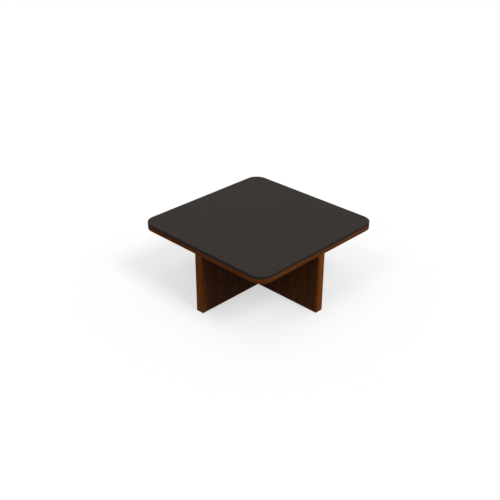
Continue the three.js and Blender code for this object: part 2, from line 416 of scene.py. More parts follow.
class NodeBench:
    """Adds and wires the nodes of one material, world or node group."""

    def __init__(self, tree: NodeTree) -> None:
        """Takes the node tree to work on."""
        self.tree = tree

    def add(
        self, kind: str, sockets: dict[str | int, object] | None = None, **settings: object
    ) -> Node:
        """Adds a node.

        Args:
            kind: Blender's name of the node type.
            sockets: A value or an output socket for each input, by name or place.
            settings: The node's own settings, such as its operation.

        Returns:
            The new node.
        """
        node = self.tree.nodes.new(kind)
        for setting, value in settings.items():
            setattr(node, setting, value)
        self.feed(node, sockets or {})
        return node

    def feed(self, node: Node, sockets: dict[str | int, object]) -> None:
        """Sets a node's inputs, or wires them.

        Args:
            node: The node.
            sockets: A value or an output socket for each input, by name or place.
        """
        for place, value in sockets.items():
            if isinstance(value, Socket):
                self.tree.links.new(value, node.inputs[place])
            else:
                node.inputs[place].default_value = value

    def math(self, operation: str, *values: Number, clamp: bool = False) -> Socket:
        """A sum on plain numbers.

        Args:
            operation: Blender's name of the operation.
            values: Numbers or output sockets, in the node's order.
            clamp: Whether the result stays between 0 and 1.

        Returns:
            The result's socket.
        """
        sockets = dict(enumerate(values))
        return self.add("ShaderNodeMath", sockets, operation=operation, use_clamp=clamp).outputs[0]

    def layer(self, base: Number, value: Number, share: Number, clamp: bool = False) -> Socket:
        """A base number with a share of another added to it."""
        return self.math("MULTIPLY_ADD", value, share, base, clamp=clamp)

    def vector(self, operation: str, *values: Sequence[float] | Socket) -> Socket:
        """A sum on vectors; the values are vectors or output sockets, in the node's order."""
        sockets = dict(enumerate(values))
        return self.add("ShaderNodeVectorMath", sockets, operation=operation).outputs[0]

    def scaled(self, vector: Socket, scale: Number) -> Socket:
        """A vector times a number."""
        sockets = {"Vector": vector, "Scale": scale}
        return self.add("ShaderNodeVectorMath", sockets, operation="SCALE").outputs[0]

    def noise(self, vector: Socket, detail: float, roughness: float) -> Socket:
        """Smooth random values about a half, one cell for each unit of the vector.

        Args:
            vector: The coordinates, already scaled.
            detail: Octaves above the first.
            roughness: How strong those octaves are.

        Returns:
            The value's socket.
        """
        sockets = {"Vector": vector, "Scale": 1.0, "Detail": detail, "Roughness": roughness}
        return self.add("ShaderNodeTexNoise", sockets).outputs[0]

    def spread(
        self, value: Socket, low: float, high: float, to_low: float = 0.0, to_high: float = 1.0
    ) -> Socket:
        """Maps a stretch of values onto another, and holds it there.

        Args:
            value: The value's socket.
            low: Start of the stretch.
            high: End of the stretch.
            to_low: What the start becomes.
            to_high: What the end becomes.

        Returns:
            The result's socket.
        """
        reach = {"From Min": low, "From Max": high, "To Min": to_low, "To Max": to_high}
        return self.add("ShaderNodeMapRange", {"Value": value} | reach, clamp=True).outputs[0]

    def blend(self, factor: Number, first: Shade, second: Shade, kind: str = "MIX") -> Socket:
        """Blends two colours, where a number's socket stands for a grey.

        Args:
            factor: From 0 to 1.
            first: The colour at 0.
            second: The colour at 1.
            kind: Blender's name of the blend.

        Returns:
            The colour's socket.
        """
        sockets = {"Factor": factor, "A": first, "B": second}
        node = self.add("ShaderNodeMix", sockets, data_type="RGBA", blend_type=kind)
        return node.outputs["Result"]


def fresh_bench(owner: Material | bpy.types.World) -> NodeBench:
    """Clears the nodes of a material or a world.

    Args:
        owner: The material or the world.

    Returns:
        The bench for its new nodes.
    """
    owner.use_nodes = True
    owner.node_tree.nodes.clear()
    return NodeBench(owner.node_tree)


def new_group(
    name: str, inputs: dict[str, str], outputs: dict[str, str]
) -> tuple[NodeBench, dict[str, Socket], Node]:
    """Starts a shader node group.

    Args:
        name: The group's name.
        inputs: Socket type of each input, by name.
        outputs: Socket type of each output, by name.

    Returns:
        The bench for its nodes, its inputs by name, and its output node.
    """
    tree = bpy.data.node_groups.new(name, "ShaderNodeTree")
    for direction, sockets in (("INPUT", inputs), ("OUTPUT", outputs)):
        for socket_name, kind in sockets.items():
            tree.interface.new_socket(name=socket_name, in_out=direction, socket_type=kind)
    bench = NodeBench(tree)
    entry = bench.add("NodeGroupInput")
    leave = bench.add("NodeGroupOutput")
    return bench, {given: entry.outputs[given] for given in inputs}, leave


FLOAT = "NodeSocketFloat"
COLOUR = "NodeSocketColor"
VECTOR = "NodeSocketVector"
FINISH_OUTPUTS = {"Color": COLOUR, "Roughness": FLOAT, "Height": FLOAT}
NOISE_MIDDLE = 0.5


@dataclass(frozen=True)
class Streaks:
    """A noise drawn out along the grain, and the stretch of its values that is used.

    The cells are counted for each metre along the grain and over it.
    """

    along: float
    over: float
    detail: float = 2.0
    roughness: float = 0.5
    low: float = 0.0
    high: float = 1.0


@dataclass(frozen=True)
class WoodFigure:
    """The shared group that draws straight-grained, sliced and matched wood.

    Its stripes, dark heart streaks, fibres and pores are noises drawn out along the
    grain. The wood is cut in leaves that mirror each other at each seam, as matched
    veneer does.
    """

    stripes: Streaks = Streaks(0.5, 26, detail=3, roughness=0.66, low=0.38, high=0.62)
    heart: Streaks = Streaks(0.4, 9, low=0.52, high=0.72)
    fibres: Streaks = Streaks(16, 850, roughness=0.6)
    clouds: Streaks = Streaks(1.6, 4, detail=1)
    pores: Streaks = Streaks(90, 1900, detail=1, low=0.62, high=0.74)
    ring_widths: Streaks = Streaks(1.2, 22)
    rings_per_metre: float = 210.0
    ring_drift: float = 9.0
    late_wood: tuple[float, float] = (0.25, 0.9)
    year_end: tuple[float, float] = (0.94, 1.0)
    tones: tuple[float, float, float] = (0.1, 0.5, 0.9)
    plain_tone: float = 0.04
    stripe_share: float = 0.5
    ring_share: float = 0.2
    fibre_share: float = 0.24
    cloud_share: float = 0.4
    pore_shade: float = -0.42
    seam_shade: float = -0.35
    pore_roughness: float = 0.16
    fibre_roughness: float = 0.22
    fibre_height: float = 0.35
    seam_height: float = -0.8
    leaf_offset: float = 0.05
    leaf_tones: tuple[float, float] = (0.95, 1.0)
    seam_half_width: float = 0.2 * MM
    sway_per_metre: float = 3.0
    sway_detail: float = 1.0
    sway_reach: float = 0.03

    def build(self) -> NodeTree:
        """Makes the group.

        Returns:
            The group's node tree.
        """
        bench, given, leave = new_group(
            "wood_figure",
            {
                "Vector": VECTOR,
                "Across": VECTOR,
                "Cut From": VECTOR,
                "Figure Length": FLOAT,
                "Heart": FLOAT,
                "Leaf Width": FLOAT,
                "Seam": FLOAT,
                "Light": COLOUR,
                "Middle": COLOUR,
                "Dark": COLOUR,
                "Base Roughness": FLOAT,
            },
            FINISH_OUTPUTS,
        )
        point, seam, leaf_tone = self.matched_leaves(bench, given)
        over = bench.vector("MULTIPLY", point, given["Across"])
        stretch = bench.math("DIVIDE", 1.0, given["Figure Length"])
        along = bench.scaled(bench.vector("SUBTRACT", point, over), stretch)

        def drawn(streaks: Streaks) -> Socket:
            """Draws streaks at the folded point.

            Args:
                streaks: Which streaks.

            Returns:
                Their values, from 0 to 1.
            """
            cells = bench.vector(
                "ADD", bench.scaled(over, streaks.over), bench.scaled(along, streaks.along)
            )
            noise = bench.noise(cells, streaks.detail, streaks.roughness)
            return bench.spread(noise, streaks.low, streaks.high)

        fibres, pores = drawn(self.fibres), drawn(self.pores)
        rings = self.growth_rings(bench, point, given["Across"], drawn(self.ring_widths))
        clouds = bench.math("SUBTRACT", drawn(self.clouds), NOISE_MIDDLE)
        heart = bench.math("MULTIPLY", drawn(self.heart), given["Heart"])

        figure = bench.layer(self.plain_tone, drawn(self.stripes), self.stripe_share)
        figure = bench.layer(figure, rings, self.ring_share)
        figure = bench.layer(figure, fibres, self.fibre_share)
        figure = bench.layer(figure, clouds, self.cloud_share)
        figure = bench.math("SUBTRACT", figure, heart)
        dark, middle, light = self.tones
        lower = bench.blend(bench.spread(figure, dark, middle), given["Dark"], given["Middle"])
        colour = bench.blend(bench.spread(figure, middle, light), lower, given["Light"])
        shade = bench.layer(leaf_tone, pores, self.pore_shade)
        shade = bench.layer(shade, seam, self.seam_shade, clamp=True)

        uneven = bench.math("SUBTRACT", fibres, NOISE_MIDDLE)
        rough = bench.layer(given["Base Roughness"], pores, self.pore_roughness)
        height = bench.math("SUBTRACT", bench.math("MULTIPLY", fibres, self.fibre_height), pores)
        shown = {
            "Color": bench.blend(1.0, colour, shade, "MULTIPLY"),
            "Roughness": bench.layer(rough, uneven, self.fibre_roughness),
            "Height": bench.layer(height, seam, self.seam_height),
        }
        bench.feed(leave, shown)
        return bench.tree

    def growth_rings(
        self, bench: NodeBench, point: Socket, across: Socket, widths: Socket
    ) -> Socket:
        """Draws year rings, pale at the start of each and dark at its end.

        Args:
            bench: The bench of the group.
            point: The folded coordinates.
            across: The mask of the axes across the grain.
            widths: Smooth values that vary the rings' widths.

        Returns:
            The rings' tone, from 0, dark, to 1, pale.
        """
        sockets = {0: point, 1: across}
        reach = bench.add("ShaderNodeVectorMath", sockets, operation="DOT_PRODUCT").outputs["Value"]
        turns = bench.math("MULTIPLY", reach, self.rings_per_metre)
        year = bench.math("FRACT", bench.layer(turns, widths, self.ring_drift))
        late = bench.spread(year, *self.late_wood)
        fresh = bench.spread(year, *self.year_end)
        return bench.math("ADD", bench.math("SUBTRACT", 1.0, late), fresh)

    def matched_leaves(
        self, bench: NodeBench, given: dict[str, Socket]
    ) -> tuple[Socket, Socket, Socket]:
        """Folds the coordinates across the grain at each leaf's seam, and lets them sway.

        Args:
            bench: The bench of the group.
            given: The group's inputs by name.

        Returns:
            The folded point, the seam's mask and each leaf's tone.
        """
        width = given["Leaf Width"]
        cut = bench.vector("ADD", given["Vector"], given["Cut From"])
        place = bench.add("ShaderNodeSeparateXYZ", {"Vector": cut})
        across = bench.add("ShaderNodeSeparateXYZ", {"Vector": given["Across"]})
        folded, indices, seams = [], [], []
        for here, over in zip(place.outputs, across.outputs):
            shifted = bench.math("ADD", here, self.leaf_offset)
            fold = bench.math("PINGPONG", shifted, width)
            turn = bench.math("SUBTRACT", fold, here)
            folded.append(bench.layer(here, turn, over))
            leaf = bench.math("FLOOR", bench.math("DIVIDE", shifted, width))
            indices.append(bench.math("MULTIPLY", leaf, over))
            edge = bench.math("MINIMUM", fold, bench.math("SUBTRACT", width, fold))
            line = bench.math("LESS_THAN", edge, self.seam_half_width)
            seams.append(bench.math("MULTIPLY", line, over))
        point = bench.add("ShaderNodeCombineXYZ", dict(enumerate(folded))).outputs[0]
        index = bench.add("ShaderNodeCombineXYZ", dict(enumerate(indices))).outputs[0]
        tone = bench.add("ShaderNodeTexWhiteNoise", {"Vector": index}, noise_dimensions="3D")
        leaf_tone = bench.spread(tone.outputs[0], 0.0, 1.0, *self.leaf_tones)
        seam = bench.math("MAXIMUM", bench.math("MAXIMUM", seams[0], seams[1]), seams[2])

        slow = {"Vector": point, "Scale": self.sway_per_metre, "Detail": self.sway_detail}
        drift = bench.add("ShaderNodeTexNoise", slow).outputs["Color"]
        sway = bench.vector("SUBTRACT", drift, (NOISE_MIDDLE,) * 3)
        sway = bench.scaled(bench.vector("MULTIPLY", sway, given["Across"]), self.sway_reach)
        point = bench.vector("ADD", point, sway)
        return point, bench.math("MULTIPLY", seam, given["Seam"]), leaf_tone


@dataclass(frozen=True)
class FineSkin:
    """The shared group for smooth, nearly even skins: lacquer, moulded plastic, board edges.

    It has a fine grain, ripples at a share of the grain's scale, and faint clouds. The
    noise of each is given by its detail and its roughness.
    """

    grain_noise: tuple[float, float] = (2.0, 0.6)
    ripple_noise: tuple[float, float] = (1.0, 0.5)
    cloud_noise: tuple[float, float] = (3.0, 0.55)
    ripple_scale_share: float = 0.3
    clouds_per_metre: float = 2.6
    cloud_roughness: float = 0.12
    grain_roughness: float = 0.1
    ripple_height: float = 1.2

    def build(self) -> NodeTree:
        """Makes the group.

        Returns:
            The group's node tree.
        """
        bench, given, leave = new_group(
            "fine_skin",
            {
                "Vector": VECTOR,
                "Base": COLOUR,
                "Speckle": FLOAT,
                "Cloud": FLOAT,
                "Grains per Metre": FLOAT,
                "Base Roughness": FLOAT,
            },
            FINISH_OUTPUTS,
        )

        def uneven(per_metre: Number, detail: float, roughness: float) -> Socket:
            """Smooth values about zero, in so many cells a metre."""
            cells = bench.scaled(given["Vector"], per_metre)
            return bench.math("SUBTRACT", bench.noise(cells, detail, roughness), NOISE_MIDDLE)

        finest = given["Grains per Metre"]
        wider = bench.math("MULTIPLY", finest, self.ripple_scale_share)
        grain = uneven(finest, *self.grain_noise)
        ripples = uneven(wider, *self.ripple_noise)
        clouds = uneven(self.clouds_per_metre, *self.cloud_noise)

        tone = bench.layer(1.0, grain, given["Speckle"])
        tone = bench.layer(tone, clouds, given["Cloud"])
        rough = bench.layer(given["Base Roughness"], clouds, self.cloud_roughness)
        shown = {
            "Color": bench.blend(1.0, given["Base"], tone, "MULTIPLY"),
            "Roughness": bench.layer(rough, grain, self.grain_roughness),
            "Height": bench.layer(grain, ripples, self.ripple_height),
        }
        bench.feed(leave, shown)
        return bench.tree


def finished_material(
    name: str, group: NodeTree, values: dict[str, object], relief: float, constants: dict[str, float]
) -> Material:
    """Makes a material whose colour, roughness and relief come from a finish group.

    Args:
        name: The material's name.
        group: The finish's node group, which is placed on object coordinates.
        values: The group's other inputs by name.
        relief: Height of the relief.
        constants: The shader's own values by name.

    Returns:
        The material.
    """
    material = bpy.data.materials.new(name)
    bench = fresh_bench(material)
    place = bench.add("ShaderNodeTexCoord").outputs["Object"]
    finish = bench.add("ShaderNodeGroup", values | {"Vector": place}, node_tree=group)
    bump = bench.add(
        "ShaderNodeBump", {"Strength": 1.0, "Distance": relief, "Height": finish.outputs["Height"]}
    )
    painted = {
        "Base Color": finish.outputs["Color"],
        "Roughness": finish.outputs["Roughness"],
        "Normal": bump.outputs[0],
    }
    shader = bench.add("ShaderNodeBsdfPrincipled", painted | constants)
    bench.add("ShaderNodeOutputMaterial", {"Surface": shader.outputs[0]})
    return material


@dataclass(frozen=True)
class WoodFinish:
    """A wood: its three tones, its sheen, its figure and the way its leaves are matched.

    It is cut from a place in the log, in metres, and another place gives another figure.
    """

    light: Colour
    middle: Colour
    dark: Colour
    roughness: float = 0.6
    specular: float = 0.05
    cut_from: tuple[float, float, float] = (0.0, 0.0, 0.0)
    figure_length: float = 1.0
    heart: float = 0.0
    leaf_width: float = 0.3
    seam: float = 0.0
    relief: float = 0.12 * MM

    def material(self, name: str, run: GrainRun, figure: NodeTree) -> Material:
        """Makes this wood's material.

        Args:
            name: The material's name.
            run: How its grain runs.
            figure: The wood figure group.

        Returns:
            The material.
        """
        values = {
            "Across": run.value,
            "Cut From": self.cut_from,
            "Figure Length": self.figure_length,
            "Heart": self.heart,
            "Leaf Width": self.leaf_width,
            "Seam": self.seam,
            "Light": self.light,
            "Middle": self.middle,
            "Dark": self.dark,
            "Base Roughness": self.roughness,
        }
        constants = {"Specular IOR Level": self.specular}
        return finished_material(name, figure, values, self.relief, constants)


@dataclass(frozen=True)
class SkinFinish:
    """An even skin: its colour, how it varies, its grain size and its sheen."""

    colour: Colour
    speckle: float
    cloud: float
    grains_per_metre: float
    roughness: float
    specular: float
    relief: float
    metallic: float = 0.0

    def material(self, name: str, skin: NodeTree) -> Material:
        """Makes this skin's material.

        Args:
            name: The material's name.
            skin: The fine skin group.

        Returns:
            The material.
        """
        values = {
            "Base": self.colour,
            "Speckle": self.speckle,
            "Cloud": self.cloud,
            "Grains per Metre": self.grains_per_metre,
            "Base Roughness": self.roughness,
        }
        constants = {"Specular IOR Level": self.specular, "Metallic": self.metallic}
        return finished_material(name, skin, values, self.relief, constants)


WALNUT_VENEER = WoodFinish(
    light=srgb(154, 92, 38),
    middle=srgb(118, 66, 27),
    dark=srgb(71, 39, 15),
    roughness=0.55,
    specular=0.07,
    cut_from=(-0.08, 0.14, 0.84),
    heart=0.2,
    leaf_width=0.16,
    seam=1.0,
)
SOLID_WALNUT = WoodFinish(
    light=srgb(155, 87, 28),
    middle=srgb(124, 66, 20),
    dark=srgb(84, 42, 13),
    cut_from=(-1.06, 0.02, -1.11),
)
BAND_WALNUT = WoodFinish(
    light=srgb(139, 79, 29),
    middle=srgb(111, 60, 21),
    dark=srgb(75, 38, 12),
    figure_length=0.35,
)
CORE_PINE = WoodFinish(
    light=srgb(222, 192, 142),
    middle=srgb(207, 174, 122),
    dark=srgb(176, 134, 82),
    roughness=0.75,
    specular=0.3,
    figure_length=0.8,
    heart=0.06,
    relief=0.15 * MM,
)
CHARCOAL_LACQUER = SkinFinish(
    colour=srgb(52, 47, 43),
    speckle=0.06,
    cloud=0.03,
    grains_per_metre=1800,
    roughness=0.7,
    specular=0.05,
    relief=0.01 * MM,
)
BOARD_EDGE = SkinFinish(
    colour=srgb(132, 98, 66),
    speckle=0.5,
    cloud=0.12,
    grains_per_metre=900,
    roughness=0.85,
    specular=0.2,
    relief=0.15 * MM,
)
DARK_NYLON = SkinFinish(
    colour=srgb(38, 36, 35),
    speckle=0.12,
    cloud=0.06,
    grains_per_metre=2500,
    roughness=0.55,
    specular=0.4,
    relief=0.05 * MM,
)
ZINC_STEEL = SkinFinish(
    colour=srgb(182, 184, 186),
    speckle=0.1,
    cloud=0.1,
    grains_per_metre=1500,
    roughness=0.34,
    specular=0.5,
    relief=0.01 * MM,
    metallic=1.0,
)
TURNED_BRASS = replace(ZINC_STEEL, colour=srgb(196, 158, 88), speckle=0.08, roughness=0.36)


class Finishes:
    """Every material of the table, made once."""

    def __init__(self) -> None:
        """Builds the two shared groups and the materials that use them."""
        figure = WoodFigure().build()
        skin = FineSkin().build()
        self.upright_veneer = WALNUT_VENEER.material("walnut_veneer", GrainRun.UPRIGHT, figure)
        self.flat_veneer = WALNUT_VENEER.material("walnut_underside", GrainRun.ALONG_X, figure)
        self.upright_walnut = SOLID_WALNUT.material("walnut_lipping", GrainRun.UPRIGHT, figure)
        self.band_walnut = BAND_WALNUT.material("walnut_edge_band", GrainRun.AROUND, figure)
        self.pine = {
            run: CORE_PINE.material(f"pine_{run.name.lower()}", run, figure)
            for run in (GrainRun.UPRIGHT, GrainRun.ALONG_X, GrainRun.ALONG_Y)
        }
        self.charcoal = CHARCOAL_LACQUER.material("charcoal_lacquer", skin)
        self.board_edge = BOARD_EDGE.material("raw_board_edge", skin)
        self.nylon = DARK_NYLON.material("dark_nylon", skin)
        self.zinc = ZINC_STEEL.material("zinc_plated_steel", skin)
        self.brass = TURNED_BRASS.material("turned_brass", skin)


def dress(piece: Piece, *materials: Material) -> None:
    """Puts materials on a piece.

    Args:
        piece: The piece.
        materials: In the order of its slots.
    """
    piece.data.materials.clear()
    for material in materials:
        piece.data.materials.append(material)


def dress_node(node: str, material: Material) -> None:
    """Gives a solid that stays its finish and logs it.

    Args:
        node: The solid's name.
        material: Its finish.
    """
    dress(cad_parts[node], material)
    LOG.info("%s keeps its solid, in %s", node, material.name)


def enter(piece: Piece, node: str) -> None:
    """Enters a finished piece in the frame and logs it.

    Args:
        piece: The finished piece.
        node: The solid that it stands for.
    """
    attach(piece, ROOT)
    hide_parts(node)
    LOG.info("%s: %d faces, for %s", piece.name, len(piece.data.polygons), node)


def complete(piece: Piece, slot: str, node: str, *materials: Material) -> None:
    """Smooths a modelled piece, dresses it and enters it in the frame.

    Args:
        piece: The modelled piece.
        slot: The record's material slot; not used.
        node: The solid that it stands for.
        materials: In the order of the piece's own slots.
    """
    smooth_over(piece)
    dress(piece, *materials)
    enter(piece, node)


# Sub-assemblies


def at_panels(kind: str) -> list[str]:
    """The solids of a kind of fastening that each panel has four of."""
    return [f"{panel}_{kind}_{number}" for panel in PANELS for number in range(1, PER_PANEL + 1)]


@dataclass(frozen=True)
class Spot:
    """Where an upright round piece sits: its solid, its axis, its radius and its levels."""

    node: str
    x: float
    y: float
    radius: float
    low: float
    high: float

    @property
    def height(self) -> float:
        """From its lowest to its highest level."""
        return self.high - self.low

    def at(self, level: float) -> Vector:
        """The point of the axis at a level."""
        return Vector((self.x, self.y, level))


def spots_of(nodes: Sequence[str]) -> list[Spot]:
    """Where upright round pieces sit, read from their solids.

    Args:
        nodes: The solids' names.

    Returns:
        Their places in the same order.
    """
    spots = []
    for node in nodes:
        low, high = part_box(node)
        centre = (low + high) / 2
        spots.append(Spot(node, centre.x, centre.y, high.x - centre.x, low.z, high.z))
    return spots


def dress_copies(template: Piece, material: Material, nodes: Sequence[str]) -> None:
    """Smooths and dresses a piece, copies it to the places of its solids, and uses it up.

    Args:
        template: The modelled piece, standing at the origin.
        material: Its finish.
        nodes: The solids that the copies stand for.
    """
    smooth_over(template)
    dress(template, material)
    for spot in spots_of(nodes):
        enter(copy_to(template, f"{spot.node}_finished", spot.at(spot.low)), spot.node)
    bpy.data.objects.remove(template)


@dataclass
class Fastener:
    """A countersunk screw with a hex socket, pointing up from its head."""

    head_radius: float
    length: float
    shank_radius: float
    point: float = 0.0
    head_rim: float = 0.6 * MM
    arris: float = 0.12 * MM
    clearance: float = 0.3 * MM
    sink: float = 0.5 * MM
    round_segments: int = 32
    socket_sides: int = 6
    socket_width_share: float = 0.42
    socket_depth_share: float = 0.7

    def model(self, name: str) -> Piece:
        """Models the screw at the origin.

        Args:
            name: The piece's name.

        Returns:
            The screw, its head's face at the origin.
        """
        neck = self.head_rim + self.head_radius - self.shank_radius
        profile = [
            (self.head_radius, 0),
            (self.head_radius, self.head_rim),
            (self.shank_radius, neck),
            (self.shank_radius, self.length - self.point),
            (0, self.length),
        ]
        screw = turned(name, profile, self.round_segments)
        width = self.head_radius * self.socket_width_share
        sides = [(width, -CUT_OVERRUN), (width, neck * self.socket_depth_share)]
        cut_with(screw, [turned("hex_socket_cutter", sides, self.socket_sides)])
        soften_edges(screw, self.arris)
        return screw

    def hole(self, place: Vector, up: bool, depth: float) -> Piece:
        """Models the cutter for the screw's countersunk hole.

        Args:
            place: Centre of the hole in the face that the head is sunk in.
            up: Whether the screw points up from there.
            depth: How deep the hole goes.

        Returns:
            The cutter.
        """
        wide = self.head_radius + self.clearance
        narrow = self.shank_radius + self.clearance
        straight = self.sink + self.head_rim
        neck = straight + wide - narrow
        profile = [(wide, -CUT_OVERRUN), (wide, straight), (narrow, neck), (narrow, depth)]
        cutter = turned("screw_hole_cutter", profile, self.round_segments)
        return put(cutter, place, upside_down=not up)

    def pilot(self, place: Vector, tip: float) -> Piece:
        """Models the cutter for the screw's blind hole in what it bites.

        Args:
            place: Centre of the hole in the face that the screw goes through.
            tip: Level of the screw's tip, above that face.

        Returns:
            The cutter.
        """
        radius = self.shank_radius + self.clearance
        profile = [(radius, -CUT_OVERRUN), (radius, tip + self.clearance - place.z)]
        return put(turned("pilot_cutter", profile, self.round_segments), place)


@dataclass
class Insert:
    """A press-in threaded insert: a brass sleeve whose barbs hold it in its rail."""

    radius: float
    length: float
    bore_radius: float = 3.3 * MM
    barbs: int = 5
    barb_depth: float = 0.5 * MM
    collar: float = 2 * MM
    neck: float = 1 * MM
    arris: float = 0.1 * MM
    round_segments: int = 32

    def model(self, name: str) -> Piece:
        """Models the insert at the origin, its collar at the top.

        Args:
            name: The piece's name.

        Returns:
            The insert.
        """
        root = self.radius - self.barb_depth
        collar_low = self.length - self.collar
        pitch = (collar_low - self.neck) / self.barbs
        profile = [(root, 0)]
        for barb in range(1, self.barbs + 1):
            profile += [(self.radius, barb * pitch), (root, barb * pitch)]
        profile += [(root, collar_low), (self.radius, collar_low), (self.radius, self.length)]
        insert = turned(name, profile, self.round_segments)
        bore = [(self.bore_radius, -CUT_OVERRUN), (self.bore_radius, self.length + CUT_OVERRUN)]
        cut_with(insert, [turned("bore_cutter", bore, self.round_segments)])
        soften_edges(insert, self.arris)
        return insert


@dataclass
class TableTop:
    """The charcoal top board, the walnut sub-top under it and the band round its edge."""

    finishes: Finishes
    wood_screw: Fastener
    machine_screw: Fastener
    corner_radius: float = 80 * MM
    top_arris: float = 1.5 * MM
    band_arris: float = 0.5 * MM
    support_ring: float = 1.5 * MM
    glue_line: float = 0.05 * MM
    top_low: float = field(init=False)
    top_high: float = field(init=False)
    sub_low: float = field(init=False)
    side: float = field(init=False)
    band: float = field(init=False)

    def __post_init__(self) -> None:
        """Reads the levels and widths from the solids."""
        low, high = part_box("charcoal_top_board")
        self.top_low, self.top_high = low.z, high.z
        self.side = high.x - low.x
        sub_low, sub_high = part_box("walnut_subtop_board")
        self.sub_low = sub_low.z
        self.band = high.x - sub_high.x

    def build(self) -> None:
        """Models and dresses the three pieces."""
        self.build_top_board()
        self.build_subtop()
        self.build_band()

    def build_top_board(self) -> None:
        """The charcoal board, its arrises rounded and its pilot holes drilled."""
        board = round_board("top_board", self.side, self.corner_radius, self.top_low, self.top_high)
        with editing(board):
            for level in (self.top_high, self.top_low):
                bevel_edges(board, rim(level), self.top_arris, ARRIS_SEGMENTS)
                inset_lid(board, level, self.support_ring)
        pilots = [
            self.wood_screw.pilot(spot.at(self.top_low), spot.high)
            for spot in spots_of(WOOD_SCREWS)
        ]
        cut_with(board, pilots)
        complete(board, "charcoal_lacquer", "charcoal_top_board", self.finishes.charcoal)

    def build_subtop(self) -> None:
        """The walnut board, countersunk from below and from above."""
        inset = self.band + self.glue_line
        side, radius = self.side - 2 * inset, self.corner_radius - inset
        board = round_board("subtop_board", side, radius, self.sub_low, self.top_low)
        soften_edges(board, HAIRLINE)
        through = self.top_low - self.sub_low + CUT_OVERRUN
        holes = [
            self.wood_screw.hole(spot.at(self.sub_low), up=True, depth=through)
            for spot in spots_of(WOOD_SCREWS)
        ]
        holes += [
            self.machine_screw.hole(spot.at(self.top_low), up=False, depth=through)
            for spot in spots_of(at_panels("machine_screw"))
        ]
        cut_with(board, holes)
        complete(board, "walnut_veneer", "walnut_subtop_board", self.finishes.flat_veneer)

    def build_band(self) -> None:
        """The solid walnut band, bent round the sub-top's four corners."""
        band = round_board("subtop_band", self.side, self.corner_radius, self.sub_low, self.top_low)
        with editing(band):
            pick(band, Select.FACES, is_level)
            bpy.ops.mesh.delete(type="FACE")
        apply_modifier(band, "SOLIDIFY", thickness=self.band, offset=-1, use_even_offset=True)
        soften_edges(band, self.band_arris, FINE_SEGMENTS)
        complete(band, "solid_walnut", "subtop_edge_band", self.finishes.band_walnut)


